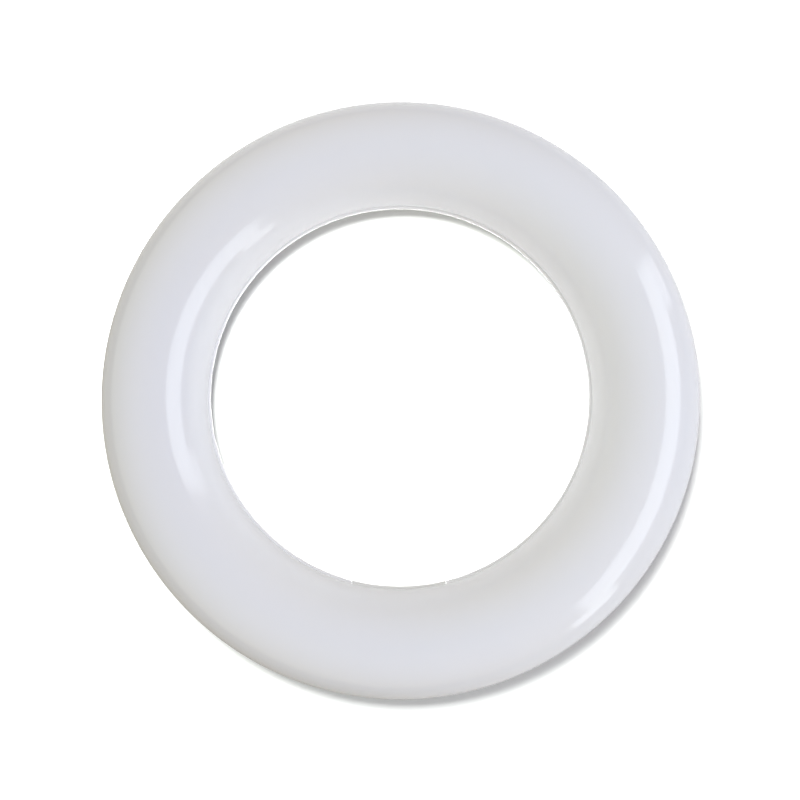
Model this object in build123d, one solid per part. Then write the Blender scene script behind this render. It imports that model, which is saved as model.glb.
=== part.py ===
from build123d import *
from math import radians, sqrt, tan
import os

# A ring lamp with a round tube section, in millimetres. It lies on its back with the ring's axis along Z:
# the opal cover faces up (+Z), the flat rest land is at z = 0, and the lamp cap is at the -Y side.
# Azimuths are degrees about Z from +X. Offsets are radial distances from the tube's centre circle.

# Ring and tube section
ring_diameter = 165.0            # across the rim beads
tube_radius = 14.4               # outside of the cover and of the shell
bead_proud = 0.6                 # how far the rim bead stands out of the tube
bead_radius = 0.7
bead_drop = 0.25                 # top of the bead below the seam, which leaves a fine groove
cover_wall = 1.5
shell_wall = 1.6
rest_land_half_width = 4.0       # flat strip round the back that the ring rests on
floor_height = 1.6               # inside floor of the shell above the rest land

# Joint between cover and shell
tongue_wall = 0.9
tongue_depth = 1.8
tongue_shelf = 1.2               # height of the step that joins the tongue to the cover
joint_clearance = 0.1
catch_count = 8
catch_proud = 0.5
catch_height = 0.8
catch_sweep = 5.0                # degrees
catch_play = 1.0                 # degrees that a recess is longer than its catch

# LED boards
board_count = 3
board_half_width = 11.5
board_thickness = 1.0
board_drop = 2.2                 # underside of the boards below the seam
board_gap = 4.0                  # degrees between two boards
first_board_gap = 330.0          # azimuth of the gap that the output leads come up through
ledge_offset = 10.0              # inner edge of the ledges that the boards lie on
ledge_thickness = 1.4

# LED packages, radial by tangential by height
leds_per_board = 20
led_size = (2.8, 3.5, 0.7)
led_window = (2.1, 2.8, 0.3)
led_row_offset = 5.2             # the packages stand in two staggered rows
phosphor_gap = 0.02

# Links between the boards
link_offset = 1.8
link_width = 1.2
link_thickness = 0.3
link_overlap = 1.2               # degrees that a link reaches over each board

# Board screws and their bosses
board_screw_azimuths = (353.0, 67.0, 113.0, 187.0, 233.0, 289.5)
board_screw_radius = 1.25
board_screw_length = 6.0
board_screw_head = (2.25, 1.2)   # radius, height
boss_radius = 3.0
screw_hole_gap = 0.02            # radial gap between a screw and its pilot hole
board_hole_gap = 0.2

# Lamp cap, which bridges the two ends of the back shell
cap_azimuth = 270.0
cap_half_sweep = 14.0            # degrees
cap_joint_sweep = 0.15           # degrees of open joint between cap and shell
pocket_half_sweep = 11.5         # degrees
pocket_half_width = 8.7
pocket_corner_radius = 1.0
plate_bottom = 8.0               # roof of the pocket, which the pins stand in
plate_thickness = 1.6
spigot_sweep = 2.5               # degrees that the cap reaches into the shell at each end
spigot_root = 1.0                # degrees that a spigot starts inside the cap's own walls
spigot_clearance = 0.15
spigot_wall = 1.35
spigot_top = 9.4

# Cap pins
pin_spacing_x = 7.92
pin_spacing_y = 6.35
pin_radius = 1.2
pin_length = 7.0
pin_tip_radius = 0.6
pin_shank_radius = 1.5
pin_shank_gap = 0.02
pin_collar = (2.0, 0.5)          # radius, height
pin_tail = (0.7, 0.9)            # radius, height

# Driver board, which follows the ring beside the cap
driver_start = 293.5
driver_end = 327.5
driver_half_width = 7.2
driver_bottom = 3.6
driver_thickness = 1.2
driver_screw_places = ((297.2, 0.0), (325.3, -4.6))   # azimuth, offset
driver_screw_radius = 1.0
driver_screw_length = 3.6
driver_screw_head = (1.8, 0.9)
driver_post_radius = 2.5
pilot_bottom = 1.0

# Driver parts: azimuth, offset and size
bridge_place = (306.3, 4.8)
bridge_size = (3.9, 4.7, 2.4)
input_capacitor_place = (311.9, 0.0)
input_capacitor_size = (3.15, 11.0)      # radius, length
output_capacitor_place = (319.0, 4.4)
output_capacitor_size = (2.5, 9.0)
film_capacitor_place = (304.5, -4.6)
film_capacitor_size = (4.0, 9.0, 6.0)
choke_place = (318.6, -3.5)
choke_size = (3.25, 6.0)                 # flange radius, height
choke_flange = 1.0
choke_neck_radius = 1.5
winding_radius = 2.85
winding_gap = 0.02
chip_place = (301.5, 0.2)
chip_size = (3.9, 4.9, 1.5)
fuse_place = (299.8, 5.0)
fuse_size = (1.2, 6.0)
resistor_azimuths = (304.9, 306.3, 307.7)
resistor_offsets = (-1.2, 1.2)
resistor_size = (2.0, 1.25, 0.5)
leg_thickness = 0.3
part_lift = 0.05                         # gap between the lying round parts and the board
sleeve_corner = 0.5
package_corner = 0.3
insulation_thickness = 0.25
insulation_half_width = 9.4
insulation_margin = 0.5                  # degrees past each end of the driver board

# Leads
lead_radius = 0.6
lead_rest = 0.02                         # gap under a lead that lies on a board
input_lead_offset = 5.2
output_lead_offsets = (-1.2, 2.0)
arc_share = 0.45                 # share of the shorter run that an arc may use

# Worked out from the dimensions above
full_turn = 360.0
centre_radius = ring_diameter / 2 - tube_radius - bead_proud
seam_height = sqrt(tube_radius ** 2 - rest_land_half_width ** 2)
cover_inner = tube_radius - cover_wall
shell_inner = tube_radius - shell_wall
tongue_outer = sqrt(shell_inner ** 2 - tongue_depth ** 2) - joint_clearance
tongue_inner = tongue_outer - tongue_wall
board_bottom = seam_height - board_drop
board_top = board_bottom + board_thickness
board_sweep = full_turn / board_count - board_gap
driver_top = driver_bottom + driver_thickness
plate_top = plate_bottom + plate_thickness
BASE = (Align.CENTER, Align.CENTER, Align.MIN)


def swept(section, start, end):
    """Solid that a section (x = radius, y = height) makes about Z from one azimuth to another."""
    return Rot(0, 0, start) * revolve(Plane.XZ * section, Axis.Z, end - start)


def strip(offset_low, offset_high, low, high):
    """Rectangle of the section, between two offsets and two heights."""
    middle = Pos(centre_radius + (offset_low + offset_high) / 2, (low + high) / 2)
    return middle * Rectangle(abs(offset_high - offset_low), high - low)


def both_sides(offset_low, offset_high, low, high):
    """The same rectangle on the outer and on the inner side of the tube."""
    return strip(offset_low, offset_high, low, high) + strip(-offset_high, -offset_low, low, high)


def tube_circle(radius):
    """Circle of the section about the tube's centre."""
    return Pos(centre_radius, seam_height) * Circle(radius)


def at(azimuth, offset, height):
    """Place on the ring, with x pointing outwards and y along the ring."""
    return Rot(0, 0, azimuth) * Pos(centre_radius + offset, 0, height)


def block(size, height=0.0):
    """Box that stands on a height, from its radial, tangential and upright size."""
    return Pos(0, 0, height) * Box(*size, align=BASE)


def rod(radius, length, height=0.0):
    """Round bar that stands on a height."""
    return Pos(0, 0, height) * Cylinder(radius, length, align=BASE)


def save(name, *shapes):
    """Writes the solids of one node to its file."""
    solids = [solid for shape in shapes for solid in shape.solids()]
    export_step(solids[0] if len(solids) == 1 else Compound(solids), f"parts/{name}.step")


def catches(offset_low, proud, low, high, sweep):
    """Short ridges at even azimuths on both sides of the tube, as catches or as their recesses."""
    section = both_sides(offset_low, offset_low + proud, low, high)
    step = full_turn / catch_count
    starts = [step * (index + 0.5) - sweep / 2 for index in range(catch_count)]
    return [swept(section, start, start + sweep) for start in starts]


def diffuser_cover():
    """Opal front half of the tube, with a tongue on each side that drops inside the shell's rim."""
    above = strip(-tube_radius, tube_radius, seam_height, seam_height + tube_radius)
    shell = (tube_circle(tube_radius) - tube_circle(cover_inner)) & above
    tongues = both_sides(tongue_inner, tongue_outer, seam_height - tongue_depth, seam_height)
    shelves = both_sides(tongue_inner, cover_inner + cover_wall / 2, seam_height, seam_height + tongue_shelf)
    cover = swept(shell + tongues + shelves, 0, full_turn)
    low = seam_height - tongue_depth
    for ridge in catches(tongue_outer - tongue_wall / 2, catch_proud + tongue_wall / 2,
                         low, low + catch_height, catch_sweep):
        cover += ridge
    return cover


def back_outline():
    """Outside of the back half: a round tube, cut flat at the rest land and at the seam, with rim beads."""
    reach = tube_radius + bead_proud
    bead_height = seam_height - bead_drop - bead_radius
    beads = [Pos(centre_radius + side * (reach - bead_radius), bead_height) * Circle(bead_radius)
             for side in (-1, 1)]
    rim = both_sides(shell_inner, reach - bead_radius, seam_height - 2 * bead_radius, seam_height)
    return (tube_circle(tube_radius) & strip(-reach, reach, 0, seam_height)) + rim + beads[0] + beads[1]


def hollow(floor):
    """Inside of the back half above a floor height."""
    return tube_circle(shell_inner) & strip(-tube_radius, tube_radius, floor, seam_height + tube_radius)


def ledges():
    """Ledges on both walls that carry the LED boards."""
    root = shell_inner + shell_wall / 2
    return both_sides(ledge_offset, root, board_bottom - ledge_thickness, board_bottom)


def back_shell():
    """White back half of the ring, open at the lamp cap, with screw bosses and recesses for the catches."""
    start = cap_azimuth + cap_half_sweep + cap_joint_sweep
    end = cap_azimuth + full_turn - cap_half_sweep - cap_joint_sweep
    shell = swept(back_outline() - hollow(floor_height) + ledges(), start, end)
    for azimuth in board_screw_azimuths:
        shell += at(azimuth, 0, floor_height / 2) * rod(boss_radius, board_bottom - floor_height / 2)
    for azimuth, offset in driver_screw_places:
        shell += at(azimuth, offset, floor_height / 2) * rod(
            driver_post_radius, driver_bottom - floor_height / 2)
    for azimuth in board_screw_azimuths:
        shell -= at(azimuth, 0, board_bottom - board_screw_length) * rod(
            board_screw_radius + screw_hole_gap, board_screw_length)
    for azimuth, offset in driver_screw_places:
        shell -= at(azimuth, offset, pilot_bottom) * rod(
            driver_screw_radius + screw_hole_gap, driver_bottom - pilot_bottom)
    low = seam_height - tongue_depth - joint_clearance
    for recess in catches(tongue_outer, catch_proud + joint_clearance,
                          low, low + catch_height + 2 * joint_clearance, catch_sweep + catch_play):
        shell -= recess
    return shell


def pin_places():
    """Centres of the four cap pins."""
    return [(x * pin_spacing_x / 2, -centre_radius + y * pin_spacing_y / 2) for y in (-1, 1) for x in (-1, 1)]


def lamp_cap():
    """Moulding between the ends of the shell: a pocket open at the back, the pin plate and two spigots."""
    section = back_outline() - hollow(plate_top) + ledges()
    cap = swept(section, cap_azimuth - cap_half_sweep, cap_azimuth + cap_half_sweep)
    pocket = swept(strip(-pocket_half_width, pocket_half_width, -floor_height, plate_bottom),
                   cap_azimuth - pocket_half_sweep, cap_azimuth + pocket_half_sweep)
    cap -= fillet(pocket.edges().filter_by(Axis.Z), pocket_corner_radius)
    outer = shell_inner - spigot_clearance
    inner = outer - spigot_wall
    reach = (-tube_radius, tube_radius)
    spigot = (tube_circle(outer) & strip(*reach, floor_height + spigot_clearance, spigot_top)) \
        - (tube_circle(inner) & strip(*reach, floor_height + spigot_clearance + spigot_wall, seam_height))
    for side in (-1, 1):
        root = cap_azimuth + side * (cap_half_sweep - spigot_root)
        tip = cap_azimuth + side * (cap_half_sweep + spigot_sweep)
        cap += swept(spigot, min(root, tip), max(root, tip))
    for x, y in pin_places():
        cap -= Pos(x, y, plate_bottom) * rod(pin_shank_radius + pin_shank_gap, plate_thickness)
    return cap


def cap_pin(x, y):
    """Brass pin: contact with a rounded tip, shank in the plate, collar on top of it and a solder tail."""
    contact = rod(pin_radius, pin_length)
    contact = fillet(contact.edges().sort_by(Axis.Z)[0], pin_tip_radius)
    shank = rod(pin_shank_radius, plate_thickness, pin_length)
    collar = rod(*pin_collar, pin_length + plate_thickness)
    tail = rod(*pin_tail, pin_length + plate_thickness + pin_collar[1])
    return Pos(x, y, plate_bottom - pin_length) * (contact + shank + collar + tail)


def board_start(index):
    """Azimuth where one of the LED boards starts."""
    return first_board_gap + board_gap / 2 + index * full_turn / board_count


def led_board(index):
    """Curved LED board with its two screw holes."""
    start = board_start(index)
    board = swept(strip(-board_half_width, board_half_width, board_bottom, board_top), start,
                  start + board_sweep)
    for azimuth in board_screw_azimuths:
        board -= at(azimuth, 0, board_bottom) * rod(board_screw_radius + board_hole_gap, board_thickness)
    return board


def led_places(index):
    """Places of one board's LED packages, in two staggered rows."""
    step = board_sweep / leds_per_board
    return [at(board_start(index) + step * (number + 0.5), led_row_offset * (-1) ** number, board_top)
            for number in range(leds_per_board)]


def led_body():
    """Frame of one LED package, with the window sunk in its top."""
    return block(led_size) - block(led_window, led_size[2] - led_window[2])


def led_phosphor():
    """Phosphor that fills the window of one LED package."""
    across, along, depth = led_window
    gap = 2 * phosphor_gap
    return block((across - gap, along - gap, depth - phosphor_gap), led_size[2] - depth)


def board_links():
    """Two flat links over each gap between boards that has no leads in it."""
    links = []
    for index in range(1, board_count):
        middle = board_start(index) - board_gap / 2
        reach = board_gap / 2 + link_overlap
        for offset in (-link_offset, link_offset):
            section = strip(offset - link_width / 2, offset + link_width / 2, board_top,
                            board_top + link_thickness)
            links.append(swept(section, middle - reach, middle + reach))
    return links


def screw(radius, length, head_size):
    """Pan-head screw whose head rests at z = 0, with a cross recess."""
    head_radius, head_height = head_size
    head = fillet(rod(head_radius, head_height).edges().sort_by(Axis.Z)[-1], head_height / 2)
    for size in ((head_radius, radius / 2), (radius / 2, head_radius)):
        head -= block((*size, head_height), head_height / 2)
    return head + rod(radius, length, -length)


def driver_board():
    """Curved driver board with its two screw holes."""
    board = swept(strip(-driver_half_width, driver_half_width, driver_bottom, driver_top), driver_start,
                  driver_end)
    for azimuth, offset in driver_screw_places:
        board -= at(azimuth, offset, driver_bottom) * rod(
            driver_screw_radius + board_hole_gap, driver_thickness)
    return board


def on_driver(place, shape):
    """Puts a part on the driver board at an azimuth and an offset."""
    return at(*place, driver_top) * shape


def legged_package(size, leg_count):
    """Small moulded package with gull legs on its two tangential sides."""
    across, along, height = size
    body = block((across, along, height - leg_thickness), leg_thickness)
    package = fillet(body.edges().group_by(Axis.Z)[-1], package_corner)
    leg_step = across / leg_count
    for number in range(leg_count):
        x = leg_step * (number + 0.5) - across / 2
        for side in (-1, 1):
            foot = (leg_step / 2, 3 * leg_thickness, leg_thickness)
            riser = (leg_step / 2, leg_thickness, height / 2)
            package += Pos(x, side * along / 2, 0) * block(foot)
            package += Pos(x, side * (along - leg_thickness) / 2, 0) * block(riser)
    return package


def lying_capacitor(size, direction):
    """Sleeved round capacitor that lies on the board along x or y, with a groove near one end."""
    radius, length = size
    can = fillet(Cylinder(radius, length).edges(), sleeve_corner)
    groove = Pos(0, 0, length / 2 - 3 * sleeve_corner) * (
        Cylinder(radius, sleeve_corner) - Cylinder(radius - sleeve_corner / 2, sleeve_corner))
    turn = Rot(0, 90, 0) if direction == "x" else Rot(90, 0, 0)
    return Pos(0, 0, radius + part_lift) * turn * (can - groove)


def film_capacitor():
    """Upright box capacitor with rounded edges."""
    return fillet(block(film_capacitor_size).edges().filter_by(Plane.XY, reverse=True), sleeve_corner)


def choke_core():
    """Drum core: two flanges on a neck."""
    radius, height = choke_size
    lower = rod(radius, choke_flange)
    upper = rod(radius, choke_flange, height - choke_flange)
    return lower + rod(choke_neck_radius, height) + upper


def choke_winding():
    """Copper winding between the flanges of the core."""
    height = choke_size[1] - 2 * choke_flange - 2 * winding_gap
    base = choke_flange + winding_gap
    return rod(winding_radius, height, base) - rod(choke_neck_radius + winding_gap, height, base)


def fuse_resistor():
    """Axial resistor that lies along the ring, with its two bent legs."""
    radius, length = fuse_size
    height = radius + part_lift
    body = Pos(0, 0, height) * Rot(90, 0, 0) * fillet(Cylinder(radius, length).edges(), radius / 3)
    for side in (-1, 1):
        body += Pos(0, side * (length / 2 + leg_thickness), 0) * rod(leg_thickness, height + leg_thickness)
        body += Pos(0, side * length / 2, height) * Rot(90, 0, 0) * Cylinder(leg_thickness, 2 * leg_thickness)
    return body


def insulation_sheet():
    """Thin sheet under the LED board, over the driver."""
    section = strip(-insulation_half_width, insulation_half_width, board_bottom - insulation_thickness,
                    board_bottom)
    return swept(section, driver_start - insulation_margin, driver_end + insulation_margin)


def spot(azimuth, offset, height):
    """Point on the ring."""
    return at(azimuth, offset, height).position


def corner_radii(points):
    """Largest arc for each corner that both of its runs have room for."""
    radii = []
    for before, here, after in zip(points, points[1:], points[2:]):
        arriving = here - before
        leaving = after - here
        turn = radians(arriving.get_angle(leaving))
        radii.append(arc_share * min(arriving.length, leaving.length) / tan(turn / 2))
    return radii


def lead(name, points):
    """Insulated lead along runs joined by arcs; prints the radius of each arc."""
    radii = corner_radii(points)
    path = FilletPolyline(*points, radius=radii)
    tube = sweep(Plane(origin=path @ 0, z_dir=path % 0) * Circle(lead_radius), path=path)
    print(name, "arc radii", [round(radius, 1) for radius in radii], "length", round(path.length, 1))
    return tube


def input_lead(name, side):
    """Lead from the tail of a cap pin, over the end of the cap, down to the driver board."""
    high = plate_top + pin_collar[1] + lead_radius + lead_rest
    low = driver_top + lead_radius + lead_rest
    start = Vector(pin_spacing_x / 2 + pin_tail[0] + joint_clearance,
                   -centre_radius - side * pin_spacing_y / 2, high)
    return lead(name, [start,
                       spot(279.5, side * (input_lead_offset - 0.6), high + 0.1),
                       spot(286.8, side * input_lead_offset, high - 0.1),
                       spot(292.4, side * (input_lead_offset + 0.1), low),
                       spot(296.6, side * input_lead_offset, low)])


def output_lead(name, offset):
    """Lead from the driver board, up through the gap between two boards, to the top of the first board."""
    low = driver_top + lead_radius + lead_rest
    high = board_top + lead_radius + lead_rest
    gap = first_board_gap - 0.4
    return lead(name, [spot(323.8, offset, low), spot(gap, offset, low), spot(gap, offset + 0.2, high),
                       spot(334.6, offset, high)])


os.makedirs("parts", exist_ok=True)
save("diffuser_cover", diffuser_cover())
save("back_shell", back_shell())
save("lamp_cap", lamp_cap())
for number, (pin_x, pin_y) in enumerate(pin_places(), 1):
    save(f"cap_pin_{number}", cap_pin(pin_x, pin_y))
for number in range(board_count):
    save(f"led_board_{number + 1}", led_board(number))
    save(f"led_bodies_{number + 1}", *[place * led_body() for place in led_places(number)])
    save(f"led_phosphor_{number + 1}", *[place * led_phosphor() for place in led_places(number)])
save("board_links", *board_links())
board_screw = screw(board_screw_radius, board_screw_length, board_screw_head)
save("board_screws", *[at(azimuth, 0, board_top) * board_screw for azimuth in board_screw_azimuths])
save("driver_board", driver_board())
driver_screw = screw(driver_screw_radius, driver_screw_length, driver_screw_head)
save("driver_screws", *[on_driver(place, driver_screw) for place in driver_screw_places])
save("bridge_rectifier", on_driver(bridge_place, legged_package(bridge_size, 2)))
save("driver_chip", on_driver(chip_place, legged_package(chip_size, 4)))
save("input_capacitor", on_driver(input_capacitor_place, lying_capacitor(input_capacitor_size, "x")))
save("output_capacitor", on_driver(output_capacitor_place, lying_capacitor(output_capacitor_size, "y")))
save("film_capacitor", on_driver(film_capacitor_place, film_capacitor()))
save("choke_core", on_driver(choke_place, choke_core()))
save("choke_winding", on_driver(choke_place, choke_winding()))
save("fuse_resistor", on_driver(fuse_place, fuse_resistor()))
save("chip_resistors", *[on_driver((azimuth, offset), block(resistor_size))
                         for azimuth in resistor_azimuths for offset in resistor_offsets])
save("insulation_sheet", insulation_sheet())
save("lead_live", input_lead("lead_live", -1))
save("lead_neutral", input_lead("lead_neutral", 1))
save("lead_positive", output_lead("lead_positive", output_lead_offsets[0]))
save("lead_negative", output_lead("lead_negative", output_lead_offsets[1]))
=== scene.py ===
"""Looks of a ring-shaped LED lamp, built round its packed construction model.

The ring lies on its back with its axis along Z: the opal cover faces up and the lamp cap is at the -Y side.
All sizes are in metres. Azimuths and sweeps are degrees about Z, and azimuths count from +X. A moulding's
section is drawn in offsets from the tube's centre circle and in heights from the seam, where the cover
meets the back shell.
"""

import logging
from dataclasses import dataclass, field
from enum import Enum
from math import acos, asin, atan2, ceil, cos, degrees, pi, radians, sin, sqrt, tan
from typing import Callable, Mapping, Sequence, Union

import bmesh
import bpy
from mathutils import Matrix, Vector


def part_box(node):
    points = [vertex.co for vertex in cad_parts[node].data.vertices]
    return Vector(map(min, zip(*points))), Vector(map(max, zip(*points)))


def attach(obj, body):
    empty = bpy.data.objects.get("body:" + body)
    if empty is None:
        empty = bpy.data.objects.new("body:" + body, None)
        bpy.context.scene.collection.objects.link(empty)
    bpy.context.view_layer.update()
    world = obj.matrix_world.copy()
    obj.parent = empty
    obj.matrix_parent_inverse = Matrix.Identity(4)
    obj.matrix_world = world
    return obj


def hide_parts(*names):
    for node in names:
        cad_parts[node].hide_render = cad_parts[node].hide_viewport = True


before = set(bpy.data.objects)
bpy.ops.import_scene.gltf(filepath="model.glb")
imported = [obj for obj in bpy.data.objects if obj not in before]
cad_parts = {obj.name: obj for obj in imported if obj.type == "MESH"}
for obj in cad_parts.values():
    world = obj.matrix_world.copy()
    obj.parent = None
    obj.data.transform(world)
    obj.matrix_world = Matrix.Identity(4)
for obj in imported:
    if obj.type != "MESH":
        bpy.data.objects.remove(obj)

MM = 0.001
FULL_TURN = 360.0
HALF_TURN = 180.0
UPWARD = 90.0                    # angle of the upward direction in a section
BODY = "root"
CREASE_ANGLE = 38.0              # edges that turn more than this stay crisp
AZIMUTH_PLAY = 1e-6              # degrees by which an azimuth may miss the end of a catch
WAVE_TURN = 20.0                 # radians that the wave texture turns through in one unit at scale 1

Colour = tuple[float, float, float]
Place = tuple[float, float, float]
Loop = list[Vector]
Input = Union["Wire", float, Sequence[float]]
WHITE: Colour = (1.0, 1.0, 1.0)
log = logging.getLogger("ring_lamp")


class Cut(Enum):
    """How one solid is worked into another."""

    JOIN = "UNION"
    REMOVE = "DIFFERENCE"


class Grain(Enum):
    """Kind of fine relief, by the layers of noise that make it; cells make the last one."""

    PEEL = 1.0
    SPARKED = 5.0
    GRANULAR = 0.0


class Direction(Enum):
    """Axis that rings, turns or threads follow one another along."""

    X = "X"
    Y = "Y"
    Z = "Z"


class Reach(Enum):
    """What a light shines on, as the floor's state among its receivers."""

    LAMP = "EXCLUDE"
    FLOOR = "INCLUDE"


class Wire:
    """Output socket of a shader node, so that shader maths reads like arithmetic."""

    def __init__(self, graph: "Graph", socket: bpy.types.NodeSocket | None) -> None:
        """Wraps an output socket of one of the graph's nodes, or none after an output node."""
        self.graph = graph
        self.socket = socket

    def _math(self, operation: str, *values: Input) -> "Wire":
        """Adds one Math node for Blender's name of an operation."""
        return self.graph.add("ShaderNodeMath", {"operation": operation}, dict(enumerate(values)))

    def _vector_math(self, operation: str, *values: Input) -> "Wire":
        """Adds one Vector Math node for an operation that gives a number."""
        inputs = dict(enumerate(values))
        return self.graph.add("ShaderNodeVectorMath", {"operation": operation}, inputs, "Value")

    def __add__(self, other: Input) -> "Wire":
        """Sum."""
        return self._math("ADD", self, other)

    def __radd__(self, other: Input) -> "Wire":
        """Sum with a plain number first."""
        return self._math("ADD", other, self)

    def __sub__(self, other: Input) -> "Wire":
        """Difference."""
        return self._math("SUBTRACT", self, other)

    def __rsub__(self, other: Input) -> "Wire":
        """Difference with a plain number first."""
        return self._math("SUBTRACT", other, self)

    def __mul__(self, other: Input) -> "Wire":
        """Product."""
        return self._math("MULTIPLY", self, other)

    def __rmul__(self, other: Input) -> "Wire":
        """Product with a plain number first."""
        return self._math("MULTIPLY", other, self)

    def __truediv__(self, other: Input) -> "Wire":
        """Quotient."""
        return self._math("DIVIDE", self, other)

    def __rtruediv__(self, other: Input) -> "Wire":
        """Quotient with a plain number first."""
        return self._math("DIVIDE", other, self)

    def __pow__(self, other: Input) -> "Wire":
        """Power."""
        return self._math("POWER", self, other)

    def __gt__(self, other: Input) -> "Wire":
        """1 where this is the greater, else 0."""
        return self._math("GREATER_THAN", self, other)

    def __lt__(self, other: Input) -> "Wire":
        """1 where this is the smaller, else 0."""
        return self._math("LESS_THAN", self, other)

    def __abs__(self) -> "Wire":
        """Size without its sign."""
        return self._math("ABSOLUTE", self)

    def dot(self, other: Place) -> "Wire":
        """Dot product of this vector with a fixed one."""
        return self._vector_math("DOT_PRODUCT", self, other)

    def length(self) -> "Wire":
        """Length of this vector."""
        return self._vector_math("LENGTH", self)

    def angle_to(self, other: "Wire") -> "Wire":
        """Angle in radians whose sine goes with this value and whose cosine goes with the other."""
        return self._math("ARCTAN2", self, other)

    def fraction(self) -> "Wire":
        """Part after the decimal point."""
        return self._math("FRACT", self)

    def from_middle(self) -> "Wire":
        """Distance from the middle between two whole numbers, from 0 to 0.5."""
        return abs(self.fraction() - 0.5)

    def floored(self, low: float) -> "Wire":
        """This value, or the low one where that is more."""
        return self._math("MAXIMUM", self, low)

    def eased(self, low: float, high: float) -> "Wire":
        """Smooth step from 0 at low to 1 at high."""
        settings = {"interpolation_type": "SMOOTHSTEP"}
        return self.graph.add("ShaderNodeMapRange", settings, {0: self, 1: low, 2: high})


class Graph:
    """Shader node tree with one way to add a node."""

    MIX_INPUTS = (6, 7)              # sockets of the Mix node that take colours
    MIX_OUTPUT = 2

    def __init__(self, tree: bpy.types.NodeTree) -> None:
        """Empties the node tree of a material or a world and takes it over."""
        self.tree = tree
        tree.nodes.clear()

    def add(self, kind: str, settings: Mapping[str, object] | None = None,
            inputs: Mapping[int | str, Input] | None = None, output: int | str = 0) -> Wire:
        """Adds a node.

        Args:
            kind: Blender's type name of the node.
            settings: the node's own properties.
            inputs: value or wire for each input socket, by name or number.
            output: socket that the returned wire carries.

        Returns:
            The wire of the chosen output.
        """
        node = self.tree.nodes.new(kind)
        for name, value in (settings or {}).items():
            setattr(node, name, value)
        for name, value in (inputs or {}).items():
            if isinstance(value, Wire):
                self.tree.links.new(value.socket, node.inputs[name])
            else:
                node.inputs[name].default_value = value
        return Wire(self, node.outputs[output] if node.outputs else None)

    def place(self) -> Wire:
        """Coordinates in the row's frame, which every piece shares."""
        return self.add("ShaderNodeTexCoord", output="Object")

    def axes(self) -> tuple[Wire, Wire, Wire]:
        """X, Y and Z of the place that is shaded."""
        node = self.add("ShaderNodeSeparateXYZ", inputs={0: self.place()}).socket.node
        return tuple(Wire(self, socket) for socket in node.outputs)

    def noise(self, size: float, layers: float, seed: float) -> Wire:
        """Soft noise around 0.5, with patches of that size in metres and that many finer layers."""
        return self.add("ShaderNodeTexNoise", {"noise_dimensions": "4D"},
                        {"Vector": self.place(), "W": seed, "Scale": 1.0 / size, "Detail": layers})

    def waves(self, direction: Direction, pitch: float) -> Wire:
        """Even bands along an axis, which rise and fall between 0 and 1."""
        inputs = {"Vector": self.place(), "Scale": 2 * pi / (WAVE_TURN * pitch)}
        return self.add("ShaderNodeTexWave", {"bands_direction": direction.value}, inputs, "Fac")

    def mix(self, factor: Input, first: Input, second: Input) -> Wire:
        """Mixes two colours.

        Args:
            factor: share of the second colour.
            first: colour or wire at factor 0.
            second: colour or wire at factor 1.

        Returns:
            The mixed colour.
        """
        colours = [value if isinstance(value, Wire) else (*value, 1.0) for value in (first, second)]
        inputs = {"Factor": factor, **dict(zip(self.MIX_INPUTS, colours))}
        return self.add("ShaderNodeMix", {"data_type": "RGBA"}, inputs, self.MIX_OUTPUT)

    def bump(self, height: Wire, depth: float) -> Wire:
        """Normal of a relief that goes from 0 to 1, with that depth in metres."""
        return self.add("ShaderNodeBump", inputs={"Strength": 1.0, "Distance": depth, "Height": height})


@dataclass(frozen=True)
class Finish:
    """Finish of one material slot: a base colour with slight drifts, and a fine relief."""

    slot: str
    colour: Colour
    drift_colour: Colour
    roughness: float
    roughness_spread: float = 0.06
    metallic: float = 0.0
    coat: float = 0.0
    index: float = 1.5
    drift_size: float = 12 * MM
    grain: Grain = Grain.PEEL
    grain_size: float = 0.4 * MM
    grain_depth: float = 0.004 * MM
    seed: float = 1.0

    DRIFT_LAYERS = 3.0
    DRIFT_EDGES = (0.3, 0.7)         # noise between which the base colour turns into the drift colour
    GLOSS_LAYERS = 4.0
    GLOSS_PATCHES = 3.0              # patches of gloss across one patch of colour

    def colours(self, graph: Graph) -> Wire:
        """Base colour over the surface."""
        drift = graph.noise(self.drift_size, self.DRIFT_LAYERS, self.seed)
        return graph.mix(drift.eased(*self.DRIFT_EDGES), self.colour, self.drift_colour)

    def roughnesses(self, graph: Graph) -> Wire:
        """Roughness over the surface."""
        drift = graph.noise(self.drift_size / self.GLOSS_PATCHES, self.GLOSS_LAYERS, self.seed + 1)
        return self.roughness + (drift - 0.5) * (2 * self.roughness_spread)

    def relief(self, graph: Graph) -> Wire:
        """Height of the fine relief, from 0 to 1.

        Args:
            graph: the material's graph.

        Returns:
            The height.
        """
        if self.grain is Grain.GRANULAR:
            cells = {"Vector": graph.place(), "Scale": 1.0 / self.grain_size}
            return graph.add("ShaderNodeTexVoronoi", {"feature": "SMOOTH_F1"}, cells)
        return graph.noise(self.grain_size, self.grain.value, self.seed + 2)

    def constants(self) -> dict[str, Input]:
        """Values that are the same all over the surface, by the shader's socket."""
        return {"IOR": self.index}

    def coats(self, graph: Graph) -> Input:
        """Weight of the clear coat."""
        return self.coat

    def metals(self, graph: Graph) -> Input:
        """Metallic share of the surface."""
        return self.metallic

    def material(self) -> bpy.types.Material:
        """Builds the material.

        Returns:
            The new material.
        """
        made = bpy.data.materials.new(f"{self.slot}_finish")
        made.use_nodes = True
        graph = Graph(made.node_tree)
        shader = graph.add("ShaderNodeBsdfPrincipled", inputs={
            "Base Color": self.colours(graph),
            "Roughness": self.roughnesses(graph),
            "Metallic": self.metals(graph),
            "Coat Weight": self.coats(graph),
            "Normal": graph.bump(self.relief(graph), self.grain_depth),
            **self.constants()})
        graph.add("ShaderNodeOutputMaterial", inputs={"Surface": shader})
        return made


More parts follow.
